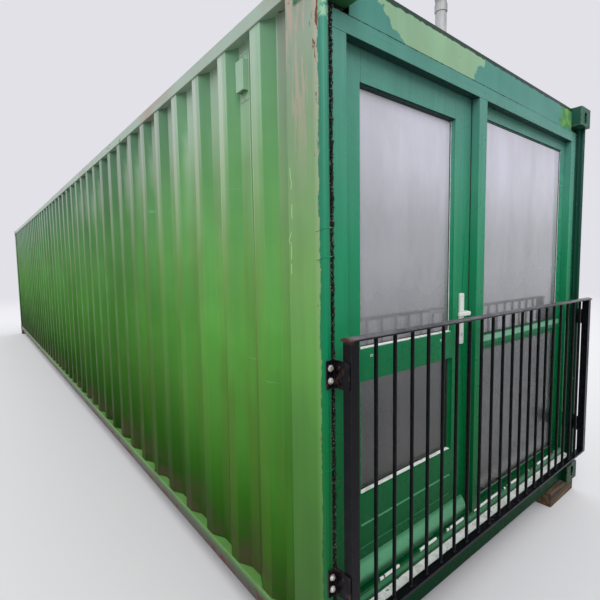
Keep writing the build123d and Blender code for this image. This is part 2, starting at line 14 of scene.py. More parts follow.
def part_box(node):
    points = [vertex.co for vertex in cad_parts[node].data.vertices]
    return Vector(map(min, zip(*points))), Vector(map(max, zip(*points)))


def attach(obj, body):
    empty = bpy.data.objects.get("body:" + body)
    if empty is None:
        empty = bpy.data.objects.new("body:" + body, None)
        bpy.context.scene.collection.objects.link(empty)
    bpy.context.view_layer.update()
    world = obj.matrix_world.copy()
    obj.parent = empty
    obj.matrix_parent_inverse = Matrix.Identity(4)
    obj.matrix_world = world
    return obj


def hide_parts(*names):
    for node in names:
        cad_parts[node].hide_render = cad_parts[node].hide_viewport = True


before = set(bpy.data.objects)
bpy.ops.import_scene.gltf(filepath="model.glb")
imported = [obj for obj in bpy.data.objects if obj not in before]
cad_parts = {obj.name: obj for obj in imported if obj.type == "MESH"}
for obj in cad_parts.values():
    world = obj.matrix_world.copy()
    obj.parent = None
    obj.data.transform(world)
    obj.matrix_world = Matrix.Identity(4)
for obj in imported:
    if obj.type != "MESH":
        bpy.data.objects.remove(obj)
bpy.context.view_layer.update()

# Places are given in millimetres from the left side, the front castings and the castings' underside
MM = 0.001
LEFT, FRONT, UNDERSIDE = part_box("casting_bottom_front_left")[0]
RIGHT, REAR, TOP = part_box("casting_top_rear_right")[1]
WIDTH = (RIGHT - LEFT) / MM
LENGTH = (REAR - FRONT) / MM
HEIGHT = (TOP - UNDERSIDE) / MM
ORIGIN = Vector((LEFT, FRONT, UNDERSIDE))
SIDES = (("left", -1), ("right", 1))
ACROSS, REARWARD, FRONTWARD, UPWARD = (1, 0, 0), (0, 1, 0), (0, -1, 0), (0, 0, 1)


def spot(x, y, z):
    return ORIGIN + Vector((x, y, z)) * MM


def reach(node):
    """The lowest and highest corners of a CAD node, in millimetres from the origin above."""
    low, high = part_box(node)
    return (Vector(low) - ORIGIN) / MM, (Vector(high) - ORIGIN) / MM


# Planes and edges of the front end
POST_FACE = reach("corner_post_front_left")[0].y
SCREEN_LEFT, SCREEN_FACE, _ = reach("frame_jamb_left")[0]
SCREEN_RIGHT = reach("frame_jamb_right")[1].x
SILL_TOP = reach("front_sill")[1].z
HEADER_BOTTOM = reach("front_header")[0].z

# The side sheets' corrugation from front to rear
OUTER_FLAT = 72
SLOPE = 68
SHEET_LEAD = 337
RIDGES = 41
INNER_FLAT = (LENGTH - 2 * SHEET_LEAD - RIDGES * (OUTER_FLAT + 2 * SLOPE)) / (RIDGES - 1)
PITCH = 2 * SLOPE + OUTER_FLAT + INNER_FLAT

# Camera
CAMERA_PLACE = (-935.4, -1016.8, 1559.4)
CAMERA_RIGHT = (0.7817, -0.6235, -0.0150)
CAMERA_FORWARD = (0.6205, 0.7800, -0.0809)
CAMERA_LENS = 24.607


def make_camera():
    camera = bpy.data.objects.new("camera", bpy.data.cameras.new("camera"))
    bpy.context.scene.collection.objects.link(camera)
    back = -Vector(CAMERA_FORWARD).normalized()
    right = Vector(CAMERA_RIGHT).normalized()
    turn = Matrix((right, back.cross(right), back)).transposed().to_4x4()
    camera.matrix_world = Matrix.Translation(spot(*CAMERA_PLACE)) @ turn
    camera.data.lens = CAMERA_LENS
    camera.data.clip_end = 200
    bpy.context.scene.camera = camera


# Colours: red, green and blue from 0 to 255, as a screen shows them
OLIVE = (84, 112, 44)
RUST = (112, 62, 44)
RUST_DARK = (62, 38, 32)
PRIMER = (196, 176, 160)
DIRT = (74, 64, 50)
OLD_GREEN = (146, 186, 150)
WHITE_PLASTIC = (226, 228, 224)
LINING = (150, 148, 150)

# Colours by height: millimetres above the castings' underside, then the colour
# The long sides' flats are chalky near the top, partly real fading and partly a painted sky sheen, and
# darker near the ground, painted shade
FLAT_GREEN = ((0, 38, 68, 20), (250, 46, 88, 26), (450, 58, 108, 34), (800, 84, 136, 54),
              (1200, 100, 166, 74), (1600, 120, 174, 96), (2000, 138, 184, 130), (2400, 160, 197, 168),
              (2520, 164, 200, 172))
# The slopes of the corrugated sheets are brighter and purer; the split between slopes and flats is painted
# light, by which way each faces
SLOPE_GREEN = ((0, 36, 68, 20), (250, 44, 88, 24), (450, 54, 106, 32), (800, 76, 134, 54),
               (1200, 92, 158, 70), (1600, 106, 170, 92), (2000, 110, 166, 106), (2400, 114, 160, 122),
               (2520, 118, 160, 128))
# Painted highlights on the bends, paler high up where they stand for the sky's reflection
BEND_HIGHLIGHT = ((500, 70, 84, 34), (1000, 96, 116, 56), (1500, 142, 158, 96), (1900, 192, 206, 172),
              (2400, 218, 228, 218))
# The front posts' sides and the plain sheet behind them are paler
POST_GREEN = ((0, 48, 88, 30), (400, 60, 108, 36), (800, 74, 130, 50), (1200, 96, 154, 70),
              (1600, 120, 166, 98), (2000, 138, 172, 128), (2400, 156, 172, 154))
POST_EDGE = ((0, 84, 130, 60), (1300, 140, 184, 116), (1900, 168, 190, 152), (2300, 196, 188, 172))
# The posts' front faces: paler high up, partly faded paint and partly a painted sky reflection, and darker
# low down, painted shade
POST_FRONT = ((0, 0, 88, 40), (500, 0, 100, 46), (900, 0, 110, 56), (1250, 4, 122, 78), (1600, 34, 132, 94),
              (2000, 56, 138, 112), (2591, 74, 146, 128))
# The castings: near black low down, painted shadow
CASTING_GREEN = ((0, 30, 58, 24), (300, 20, 78, 40), (2300, 40, 112, 70), (2591, 74, 132, 84))
# The brushed paint of the front end: paler high up, partly faded paint and partly a painted sky reflection,
# and near black at its foot, painted shadow; its right end is painted shade, as it never gets the light
EMERALD = ((0, 0, 40, 20), (150, 0, 60, 30), (450, 0, 90, 44), (800, 2, 104, 54), (1200, 16, 124, 76),
           (1600, 40, 144, 102), (2000, 78, 156, 130), (2350, 94, 154, 140), (2500, 80, 146, 134))
RIGHT_END_SHADE = ((0, 2, 36, 20), (1200, 6, 58, 38), (2200, 30, 68, 60), (2591, 38, 86, 74))


def srgb(red, green, blue):
    """A colour read as 0 to 255 on a screen, as the shader wants it."""
    def linear(value):
        value /= 255
        return value / 12.92 if value <= 0.04045 else ((value + 0.055) / 1.055) ** 2.4
    return (linear(red), linear(green), linear(blue), 1.0)


class Nodes:
    """Short ways to add nodes to a tree. Three values for a colour are 0 to 255, four go in as they are."""

    def __init__(self, tree):
        self.tree = tree

    def feed(self, socket, value):
        if isinstance(value, bpy.types.NodeSocket):
            self.tree.links.new(value, socket)
        elif socket.type == "RGBA" and len(value) == 3:
            socket.default_value = srgb(*value)
        else:
            socket.default_value = value

    def add(self, kind, feeds=(), **settings):
        """A new node with its settings, and with its inputs fed by number or name."""
        node = self.tree.nodes.new(kind)
        for key, value in settings.items():
            setattr(node, key, value)
        for key, value in dict(feeds).items():
            self.feed(node.inputs[key], value)
        return node

    def axes(self, vector):
        return self.add("ShaderNodeSeparateXYZ", {0: vector}).outputs

    def math(self, operation, first, second=0.0, clamp=False):
        feeds = {0: first, 1: second}
        return self.add("ShaderNodeMath", feeds, operation=operation, use_clamp=clamp).outputs[0]

    under = partialmethod(math, "LESS_THAN")

    def chain(self, operation, first, *others):
        for other in others:
            first = self.math(operation, first, other)
        return first

    plus = partialmethod(chain, "ADD")
    minus = partialmethod(chain, "SUBTRACT")
    times = partialmethod(chain, "MULTIPLY")
    most = partialmethod(chain, "MAXIMUM")

    def off(self, value, place):
        """How far a value is from a place, either way."""
        return self.math("ABSOLUTE", self.minus(value, place))

    def span(self, value, low, high, start=0.0, end=1.0):
        """Turns low to high smoothly into start to end, and holds those outside."""
        feeds = enumerate((value, low, high, start, end))
        return self.add("ShaderNodeMapRange", feeds, interpolation_type="SMOOTHSTEP").outputs[0]

    def band(self, value, rise, full, fall, gone, rest=0.0):
        """0 up to rise, 1 from full to fall, and rest after gone."""
        return self.times(self.span(value, rise, full), self.span(value, fall, gone, 1.0, rest))

    def blend(self, factor, first, second, kind="MIX"):
        feeds = {"Factor": factor, 6: first, 7: second}
        return self.add("ShaderNodeMix", feeds, data_type="RGBA", blend_type=kind).outputs[2]

    def seen(self):
        """1 for what the camera, glossy paint and glass see, 0 for light that falls on the object."""
        path = self.add("ShaderNodeLightPath").outputs
        return self.most(path["Is Camera Ray"], path["Is Glossy Ray"], path["Is Transmission Ray"])


class Look(Nodes):
    """One material, whose colour is built up in coats.

    Patterns are laid out in the row frame in metres, and places are in millimetres.
    """

    def __init__(self, name):
        self.material = bpy.data.materials.new(name)
        self.material.use_nodes = True
        super().__init__(self.material.node_tree)
        self.shader = self.tree.nodes["Principled BSDF"]
        self.colour = None
        self.coords = self.add("ShaderNodeTexCoord").outputs["Object"]
        self.surface = self.add("ShaderNodeNewGeometry").outputs["Normal"]
        self.along = self.axes(self.coords)
        self.facing = self.axes(self.surface)
        self.across, self.depth, self.height = (
            self.times(self.minus(part, start), 1 / MM) for part, start in zip(self.along, ORIGIN))

    def noise(self, scale, detail=4.0, roughness=0.55, stretch=(1, 1, 1), distortion=0.0, shift=0.0):
        feeds = {"Vector": self.coords, "Location": (shift, shift, shift), "Scale": stretch}
        place = self.add("ShaderNodeMapping", feeds).outputs[0]
        feeds = {"Vector": place, "Scale": scale, "Detail": detail, "Roughness": roughness,
                 "Distortion": distortion}
        return self.add("ShaderNodeTexNoise", feeds).outputs["Fac"]

    def patches(self, pattern, *limits):
        """Noise, spread over the limits that span takes, where there are any."""
        value = self.noise(*pattern)
        return self.span(value, *limits) if limits else value

    def ragged(self, width, *pattern):
        """An uneven offset, about half the width either way."""
        return self.times(self.minus(self.noise(*pattern), 0.5), width)

    def chips(self, scale, threshold, detail=6.0, shift=0.0, stretch=(1, 1, 1)):
        """Scattered ragged spots, 1 inside."""
        return self.patches((scale, detail, 0.65, stretch, 0.4, shift), threshold, threshold + 0.02)

    def ramp(self, value, stops):
        """Colours along a value; each stop is a place and a colour."""
        node = self.add("ShaderNodeValToRGB", {0: value})
        elements = node.color_ramp.elements
        while len(elements) < len(stops):
            elements.new(0.5)
        for element, (place, *colour) in zip(elements, stops):
            element.position = place
            element.color = srgb(*colour)
        return node.outputs[0]

    def rise(self, low, high, start=0.0, end=1.0):
        """What span gives for the height."""
        return self.span(self.height, low, high, start, end)

    def by_height(self, stops):
        share = self.math("DIVIDE", self.height, HEIGHT)
        return self.ramp(share, [(height / HEIGHT, *colour) for height, *colour in stops])

    def inward(self, axis):
        """1 where the surface faces the middle of the house along an axis, else 0."""
        return self.under(self.times(self.along[axis], self.facing[axis]), -0.05)

    def edges(self, radius, low=0.93, high=0.995):
        """1 near sharp edges, 0 elsewhere."""
        bevel = self.add("ShaderNodeBevel", {"Radius": radius}, samples=4).outputs[0]
        dot = self.add("ShaderNodeVectorMath", {0: bevel, 1: self.surface}, operation="DOT_PRODUCT")
        return self.span(dot.outputs["Value"], low, high, 1.0, 0.0)

    def tint(self, colour, shade, amount=1.0):
        """The colour with its brightness times a number."""
        grey = self.add("ShaderNodeCombineColor", {0: shade, 1: shade, 2: shade}).outputs[0]
        return self.blend(amount, colour, grey, "MULTIPLY")

    def weather(self, colour, amount=1.0):
        """Broad patches and runs from above over a paint colour."""
        patches = self.patches((1.7, 3.0), 0.3, 0.7, 0.90, 1.10)
        runs = self.patches((9.0, 5.0, 0.6, (1, 1, 0.05)), 0.35, 0.7, 1.04, 0.93)
        return self.tint(colour, self.times(patches, runs), amount)

    def bump(self, height, strength, distance, under=None):
        feeds = {"Height": height, "Strength": strength, "Distance": distance}
        if under is not None:
            feeds["Normal"] = under
        return self.add("ShaderNodeBump", feeds).outputs[0]

    def grain(self, pattern, strength, distance, under=None):
        return self.bump(self.noise(*pattern), strength, distance, under)

    def coat(self, amount, colour):
        """Lays a colour over what is there: 0 for none of it, 1 for all."""
        self.colour = self.blend(amount, self.colour, colour)

    def finish(self, roughness, normal=None, shine=None, **others):
        feeds = {"Base Color": self.colour, "Roughness": roughness, "Normal": normal,
                 "Specular IOR Level": shine}
        for name, value in {**feeds, **others}.items():
            if value is not None:
                self.feed(self.shader.inputs[name], value)
        return self.material


# Wall and rail paint
def painted_bend_sheen(look, flats):
    """Painted highlights that stand for the sky's reflection: a pale sheen on the bends, a pale stripe along
    the rear of each ridge's crest, and a pale sheen on the flats high up.
    """
    bend = look.times(look.band(look.facing["Y"], 0.03, 0.12, 0.30, 0.42), 0.9)
    crest_end = SLOPE + OUTER_FLAT
    place = look.math("MODULO", look.minus(look.depth, SHEET_LEAD), PITCH)
    stripe = look.times(look.band(place, crest_end - 62, crest_end - 30, crest_end, crest_end + 14),
                        look.rise(1250, 2350, 0.0, 0.75),
                        look.span(look.depth, 480, 800, 0.45, 1.0))
    flat_sheen = look.times(flats, look.rise(1900, 2300, 0.0, 0.42), look.span(look.depth, 480, 1300, 0.3, 1.0))
    return look.most(bend, stripe, flat_sheen)


def wall_rust(look):
    """Small spots, some more under the top rail and many near the ground."""
    spots = look.noise(38.0, 6.0, 0.62, (1, 1, 0.7))
    high_spots = look.plus(spots, look.rise(2440, 2530, 0.0, 0.06))
    low_spots = look.minus(spots, look.rise(100, 300, 0.0, 0.07))
    low_rust = look.times(look.span(low_spots, 0.66, 0.69), look.rise(100, 260, 1.0, 0.0))
    return look.most(look.span(high_spots, 0.735, 0.76), low_rust)


def wall_paint(look, axis):
    """The corrugated sheets, whose flats are square to the axis."""
    flats = look.span(look.math("ABSOLUTE", look.facing[axis]), 0.90, 0.99)
    # Slopes and flats are lit and shaded copies of one paint, painted light by which way each faces; by
    # height, painted sheen high up and painted shade low down
    look.colour = look.weather(look.blend(flats, look.by_height(SLOPE_GREEN), look.by_height(FLAT_GREEN)))
    patches = look.patches((2.4, 3.0, 0.5, (1, 1, 0.4), 0.0, 6.0), 0.42, 0.62, 0.0, 0.35)
    olive = look.times(flats, patches, look.rise(900, 1300, 1.0, 0.6))
    look.coat(olive, OLIVE)
    # Painted highlights on the bends, crests and high flats
    look.coat(painted_bend_sheen(look, flats), look.by_height(BEND_HIGHLIGHT))
    # Painted shade: the sheets grow darker towards the rear
    look.colour = look.tint(look.colour, look.span(look.depth, 200, 2800, 1.0, 0.60))
    front_part = look.span(look.depth, SHEET_LEAD - 7, SHEET_LEAD + 1, 1.0, 0.0)
    look.coat(front_part, look.weather(look.by_height(POST_GREEN)))
    dirt = look.times(look.rise(120, 420, 0.75, 0.0), look.patches((7.0, 6.0), 0.35, 0.65))
    look.coat(dirt, DIRT)
    rust = wall_rust(look)
    look.coat(rust, RUST)
    scratches = look.times(look.chips(3.0, 0.70, 8.0, 5.0, (1, 1, 6.0)), 0.35)
    look.coat(scratches, OLD_GREEN)
    look.coat(look.inward(axis), LINING)
    skin = look.grain((140.0, 2.0), 0.06, 0.0006)
    waves = look.grain((2.2, 2.0, 0.5, (1, 1, 0.6)), 0.10, 0.03, skin)
    rough = look.plus(look.patches((6.0, 5.0), 0.3, 0.7, 0.30, 0.44), look.times(rust, 0.4))
    return look.finish(rough, waves, shine=0.012)


def rail_paint(look, top):
    """The long rails: the top pair is chalky with rusty runs, the bottom pair is darker and browner towards
    its foot.
    """
    spots = look.noise(22.0, 7.0, 0.68, (1, 0.35, 1), 0.3)
    if top:
        look.colour = look.blend(0.65, look.weather(look.by_height(FLAT_GREEN)), (174, 186, 176))
        blush = look.patches((3.0, 5.0, 0.6, (1, 0.5, 1)), 0.52, 0.70, 0.0, 0.7)
        look.coat(blush, (176, 150, 138))
        rust = look.span(spots, 0.64, 0.68)
    else:
        stops = ((0.0, 58, 44, 36), (0.45, 62, 66, 42), (0.8, 60, 98, 44), (1.0, 92, 140, 70))
        look.colour = look.weather(look.ramp(look.rise(14, 100), stops))
        rust = look.span(look.minus(spots, look.rise(14, 90, 0.0, 0.12)), 0.50, 0.56)
    look.coat(rust, look.blend(look.noise(60.0), RUST_DARK, RUST))
    return look.finish(look.plus(look.times(rust, 0.35), 0.42), look.bump(spots, 0.5, 0.0015))


# Screen paint
UPRIGHT, LEVEL = (1, 1, 0.04), (0.04, 1, 1)
DOOR_JOINTS = (268, 930)
LEAF_LEDGES = (377, 478)
# Painted highlights, lighter bands where the light catches a face: the heights where they rise, are full,
# fall and are gone, what is left, strength, colour
PAINTED_HIGHLIGHTS = {
    "board": ((262, 292, 316, 333, 0.5), 1.0, (88, 150, 112)),
    "light": ((1132, 1138, 1164, 1168), 0.85, (134, 190, 162)),
    "bottom": ((196, 204, 222, 228), 0.7, (56, 134, 88)),
}


def line_leaf(look):
    """The dark joints of the door leaf's bars, and two painted highlights standing for ledges across its
    lower panel.
    """
    for place in DOOR_JOINTS:
        joint = look.under(look.off(look.across, place), 0.9)
        look.coat(look.times(joint, 0.7), (8, 44, 30))
    start, end = DOOR_JOINTS
    panel = look.under(look.off(look.across, (start + end) / 2), (end - start) / 2)
    # Painted highlights along two ledges
    for place in LEAF_LEDGES:
        ledge_highlight = look.span(look.off(look.height, place), 1.5, 3.5, 0.75, 0.0)
        look.coat(look.times(ledge_highlight, panel), (92, 158, 122))


def bare_edge(look):
    """White plastic where the paint has worn off the top edge of the bottom rail."""
    front_edge = look.under(look.depth, SCREEN_FACE + 7)
    worn = look.patches((7.0, 4.0, 0.6, (1, 0.1, 0.1)), 0.47, 0.49)
    look.coat(look.times(look.rise(229, 231), front_edge, worn), WHITE_PLASTIC)


def screen_paint(look, stretch, part=""):
    """Hand brushed gloss on the plastic frame and the door, brushed along the bar."""
    streaks = look.patches((60.0, 4.0, 0.6, stretch), 0.3, 0.7, 0.93, 1.05)
    look.colour = look.tint(look.weather(look.by_height(EMERALD), 0.6), streaks)
    if part == "leaf":
        line_leaf(look)
    # A painted highlight band
    if part in PAINTED_HIGHLIGHTS:
        band, strength, shine = PAINTED_HIGHLIGHTS[part]
        look.coat(look.times(look.band(look.height, *band), strength), shine)
    if part == "bottom":
        bare_edge(look)
    look.coat(look.chips(55.0, 0.765), OLD_GREEN)
    # Painted shade on faces that look down, under the head, bars and beads
    underside = look.span(look.facing["Z"], -0.9, -0.6, 0.85, 0.0)
    look.coat(underside, (14, 32, 34))
    brush_marks = look.grain((90.0, 3.0, 0.6, stretch), 0.25, 0.0008)
    return look.finish(look.patches((14.0,), 0.3, 0.7, 0.24, 0.38), brush_marks,
                       shine=0.02 if part == "sill" else 0.12)


# Header, post and casting paint
PEEL_START, PEEL_END, LAST_PEEL = 485, 1010, 2085


def peel_patches(look):
    """The two stretches of the header where the top coat has come off, 1 inside."""
    across = look.plus(look.across, look.ragged(260.0, 11.0, 8.0, 0.62))
    up = look.minus(look.height, HEADER_BOTTOM)
    left_edge = look.minus(PEEL_START, look.times(up, 1.6))
    right_edge = look.plus(PEEL_END, look.times(up, 1.05))
    inside = look.times(look.span(look.minus(across, left_edge), 0.0, 2.0),
                        look.span(look.minus(right_edge, across), 0.0, 2.0))
    return look.most(inside, look.span(look.minus(across, LAST_PEEL), 0.0, 2.0))


def header_paint(look):
    peel = peel_patches(look)
    old = look.weather(look.blend(look.noise(5.0, 4.0), (138, 182, 150), (158, 192, 152)), 0.8)
    old = look.blend(look.patches((2.0, 5.0), 0.55, 0.75, 0.0, 0.4), old, (176, 172, 150))
    mottled = look.blend(look.patches((16.0, 5.0), 0.42, 0.62), (72, 142, 94), (122, 170, 92))
    old = look.blend(look.span(look.across, 1900, 1960), old, mottled)
    look.colour = look.blend(peel, look.weather(look.by_height(EMERALD), 0.8), old)
    look.coat(look.chips(70.0, 0.72), (40, 60, 50))
    uneven = look.patches((18.0, 5.0), 0.3, 0.7, -4.0, 4.0)
    top_edge = look.span(look.plus(look.height, uneven), HEIGHT - 28, HEIGHT - 24, 0.0, 0.9)
    look.coat(top_edge, (24, 40, 40))
    film = look.bump(look.minus(1.0, peel), 0.6, 0.0015)
    normal = look.grain((30.0, 5.0), 0.12, 0.002, film)
    return look.finish(look.plus(0.34, look.times(peel, 0.14)), normal, shine=0.12)


# Painted shade over the right end of the front
def shade_right(look, colour):
    right = look.span(look.across, WIDTH - 185, WIDTH - 170, 0.0, 0.95)
    return look.blend(right, colour, look.by_height(RIGHT_END_SHADE))


# Pale scratches on the posts' sides: depth, low end, high end, sway, seed
SCRATCHES = ((210, 1842, 1925, 60, 1.0), (203, 1735, 1790, 50, 4.0), (212, 1640, 1690, 150, 7.0),
             (209, 1585, 1640, 14, 9.0), (210, 1530, 1572, 14, 12.0))


def post_rust(look):
    """Ragged runs, more of them near the front edge and near the top."""
    pattern = look.noise(32.0, 8.0, 0.70, (1, 1, 0.30), 0.3, 3.0)
    near_edge = look.span(look.depth, 56, 130, 0.10, 0.0)
    near_top = look.rise(2050, 2420, -0.08, 0.04)
    return look.span(look.plus(pattern, near_edge, near_top), 0.66, 0.685)


def post_side(look, rust):
    """Faded green with bare primer high up, a pale front edge, rust and scratches."""
    bare = look.times(look.patches((16.0, 8.0, 0.7, (1, 1, 0.12), 0.0, 2.0), 0.49, 0.57),
                      look.rise(1750, 2350, 0.0, 0.75))
    side = look.blend(bare, look.weather(look.by_height(POST_GREEN)), PRIMER)
    pale_edge = look.times(look.span(look.depth, 54, 84, 1.0, 0.0), look.rise(300, 2200, 0.25, 0.7))
    side = look.blend(pale_edge, side, look.by_height(POST_EDGE))
    side = look.blend(rust, side, look.blend(look.noise(80.0), RUST, (150, 84, 66)))
    for place, low, high, sway, shift in SCRATCHES:
        depth = look.plus(look.depth, look.ragged(sway, 9.0, 3.0, 0.6, (0, 0, 1), 0.0, shift))
        scratch = look.times(look.span(look.off(depth, place), 1.2, 2.4, 1.0, 0.0),
                             look.band(look.height, low, low + 4, high - 4, high))
        side = look.blend(scratch, side, (190, 220, 150))
    return side


def post_front(look):
    """Teal, darker at the right end, with a stretch of old mint near the left post's top."""
    front = shade_right(look, look.weather(look.by_height(POST_FRONT), 0.6))
    mint = look.times(look.band(look.height, 2368, 2380, 2424, 2432),
                      look.patches((22.0, 7.0, 0.7), 0.42, 0.45),
                      look.under(look.across, 200))
    return look.blend(mint, front, (142, 190, 156))


def post_paint(look):
    """Teal from the front face round the corner to a ragged masking edge, then faded green with rust."""
    rust = post_rust(look)
    masking = look.plus(look.depth, look.ragged(62.0, 30.0, 10.0, 0.80, (1, 1, 0.5)))
    inner = look.under(look.off(look.across, WIDTH / 2), WIDTH / 2 - 12)
    teal = look.most(look.span(masking, 49.0, 50.5, 1.0, 0.0), inner)
    kept = look.times(teal, look.minus(1.0, look.chips(20.0, 0.70, 7.0, 9.0)))
    look.colour = look.blend(kept, post_side(look, rust), post_front(look))
    normal = look.grain((40.0, 6.0), 0.25, 0.0015, look.bump(teal, 0.6, 0.002))
    return look.finish(look.plus(0.30, look.times(rust, 0.4)), normal, shine=0.14)


def casting_paint(look):
    look.colour = shade_right(look, look.weather(look.by_height(CASTING_GREEN)))
    worn = look.times(look.edges(0.006), look.patches((30.0, 5.0), 0.40, 0.56))
    look.coat(look.times(worn, 0.8), OLD_GREEN)
    rust = look.span(look.plus(look.noise(18.0, 7.0, 0.66), look.times(worn, 0.06)), 0.63, 0.66)
    look.coat(rust, look.blend(look.noise(70.0), RUST_DARK, RUST))
    normal = look.grain((45.0, 6.0, 0.6), 0.5, 0.002)
    return look.finish(look.plus(0.42, look.times(rust, 0.4)), normal, shine=0.15)


# Roof, underframe, floor and timber
def roof_paint(look):
    look.colour = look.weather((84, 132, 84))
    look.coat(look.patches((3.0, 6.0), 0.45, 0.70, 0.0, 0.7), (124, 128, 108))
    look.coat(look.patches((14.0, 8.0, 0.68), 0.64, 0.68), RUST)
    look.coat(look.inward("Z"), LINING)
    return look.finish(0.55, look.grain((60.0, 4.0), 0.2, 0.001))


def underframe_paint(look):
    look.colour = look.blend(look.noise(8.0, 6.0), (26, 24, 24), (64, 50, 40))
    look.coat(look.patches((20.0, 7.0, 0.66), 0.56, 0.64), RUST_DARK)
    return look.finish(0.8, look.grain((40.0, 5.0), 0.5, 0.002))


PLY_LENGTH = 1220


def floor_ply(look):
    """Brown plywood sheets across the floor, with worn paths and dark joints."""
    grain = look.noise(9.0, 6.0, 0.6, (0.25, 7.0, 1.0), 0.6)
    look.colour = look.ramp(grain, ((0.3, 74, 48, 30), (0.5, 104, 72, 46), (0.7, 124, 92, 62)))
    place = look.math("FRACT", look.math("DIVIDE", look.depth, PLY_LENGTH))
    look.coat(look.under(place, 0.003), (22, 16, 12))
    worn = look.patches((1.6, 5.0), 0.42, 0.66, 0.0, 0.45)
    look.coat(worn, (96, 84, 72))
    return look.finish(look.span(grain, 0.3, 0.7, 0.45, 0.65), look.bump(grain, 0.25, 0.001))


def timber(look):
    """Old sleeper wood with its grain along X."""
    grain = look.noise(10.0, 8.0, 0.62, (0.18, 3.0, 3.0), 1.2)
    stops = ((0.28, 36, 26, 18), (0.48, 78, 60, 42), (0.62, 112, 92, 66), (0.8, 142, 124, 96))
    split = look.patches((6.0, 9.0, 0.6, (0.10, 5.0, 5.0), 0.5, 2.0), 0.60, 0.64)
    look.colour = look.blend(split, look.ramp(grain, stops), (20, 14, 10))
    return look.finish(0.85, look.bump(look.minus(grain, split), 0.7, 0.004))


# Plastic, glass, sealant, metal and rubber
def white_plastic(look):
    """Bare white plastic with paint specks and grime."""
    grime = look.patches((22.0, 6.0, 0.6), 0.42, 0.72, 0.0, 0.55)
    look.colour = look.blend(grime, WHITE_PLASTIC, (150, 152, 140))
    look.coat(look.chips(48.0, 0.63), (34, 110, 66))
    return look.finish(look.patches((9.0,), 0.3, 0.7, 0.28, 0.5), look.grain((60.0, 4.0), 0.15, 0.0006))


def glass(look):
    """Double glazing with a pale film that grows towards the top, a painted sky reflection, specks of dust,
    and dull lower panes.
    """
    # Painted sky reflection: a pale film that grows towards the top, with its own patches
    film = look.plus(look.rise(900, 1750, 0.0, 0.40), look.rise(1650, 2150, 0.0, 0.56))
    film = look.times(film, look.patches((4.0, 6.0, 0.6, (1, 1, 0.35)), 0.25, 0.7, 0.8, 1.1))
    dust = look.patches((46.0, 6.0, 0.7), 0.60, 0.78, 0.0, 0.14)
    dust_and_reflection = look.math("MAXIMUM", film, dust, clamp=True)
    look.feed(look.shader.inputs["Transmission Weight"], look.math("SUBTRACT", 1.0, dust_and_reflection, clamp=True))
    low_dust = look.rise(1100, 1160, 0.24, 0.0)
    # Dust specks and the painted reflection share one pale colour
    look.colour = look.blend(dust_and_reflection, (240, 242, 243), (218, 216, 232))
    return look.finish(look.plus(look.times(dust_and_reflection, 0.10), low_dust),
                       look.grain((2.0, 1.0), 0.03, 0.004), IOR=1.55)


def handle_white(look):
    grime = look.times(look.edges(0.003), look.patches((60.0, 5.0), 0.40, 0.62, 0.0, 0.6))
    look.colour = look.blend(grime, WHITE_PLASTIC, (120, 122, 116))
    return look.finish(look.patches((30.0,), 0.3, 0.7, 0.22, 0.36), look.grain((90.0, 3.0), 0.08, 0.0004))


def sealant(look):
    """Black bitumen squeezed in by hand, with specks of dust and paint, painted over at the outer edges."""
    look.colour = look.blend(look.noise(90.0), (8, 8, 10), (30, 30, 32))
    look.coat(look.chips(190.0, 0.60), (170, 172, 150))
    look.coat(look.chips(130.0, 0.62, 5.0, 4.0), (30, 110, 74))
    side = look.minus(WIDTH / 2, look.off(look.across, WIDTH / 2))
    side = look.plus(side, look.ragged(16.0, 55.0, 8.0, 0.7))
    painted = look.most(look.span(side, 61.0, 62.0, 1.0, 0.0), look.span(look.across, 1500, 1600))
    look.coat(painted, shade_right(look, look.by_height(EMERALD)))
    return look.finish(0.55, look.grain((150.0, 5.0), 0.9, 0.003), shine=0.2)


def black_paint(look, bracket=False):
    """Brushed gloss black over old rust, with painted highlights along its edges, dust and a painted sky
    sheen on the handrail's top; the brackets are rustier.
    """
    look.colour = look.blend(look.noise(25.0, 5.0), (6, 6, 9), (18, 18, 23))
    edge = look.edges(0.002, 0.9, 0.99)
    # Painted highlights along the edges
    look.coat(look.times(edge, 0.45), (74, 74, 80))
    # Dust and a painted sky sheen on the handrail's upward top
    handrail = look.rise(1290, 1300)
    dust = look.times(look.span(look.facing["Z"], 0.6, 0.9), handrail,
                      look.patches((12.0, 5.0), 0.3, 0.7, 0.5, 1.0))
    look.coat(dust, (104, 102, 106))
    worn = look.times(edge, look.patches((35.0, 6.0), 0.50, 0.62, 0.0, 0.8))
    streaks = look.patches((20.0, 7.0, 0.68, (1, 1, 0.08), 0.0, 2.0), 0.66, 0.69, 0.0, 0.7)
    left_end = look.times(look.span(look.across, 34, 70, 0.8, 0.0), handrail)
    rust = look.most(worn, look.chips(42.0, 0.70), streaks, left_end)
    if bracket:
        rust = look.most(rust, look.patches((26.0, 7.0, 0.7), 0.54, 0.62, 0.0, 0.6))
    look.coat(rust, look.blend(look.noise(60.0), (92, 62, 56), (66, 50, 48)))
    return look.finish(look.patches((18.0,), 0.3, 0.7, 0.20, 0.36),
                       look.grain((110.0, 5.0), 0.35, 0.001), shine=0.1)


def vent_plastic(look):
    look.colour = look.blend(0.25, look.weather(look.by_height(FLAT_GREEN)), OLD_GREEN)
    worn = look.times(look.edges(0.002), look.patches((60.0,), 0.45, 0.6))
    look.coat(worn, (190, 196, 180))
    return look.finish(0.42, look.grain((100.0, 4.0), 0.12, 0.0005))


def plain_look(look, stain, first, second, rough, grain, metallic=0.0):
    """One colour stained with another."""
    look.colour = look.blend(look.patches(*stain), first, second)
    return look.finish(rough, look.grain(*grain), Metallic=metallic)


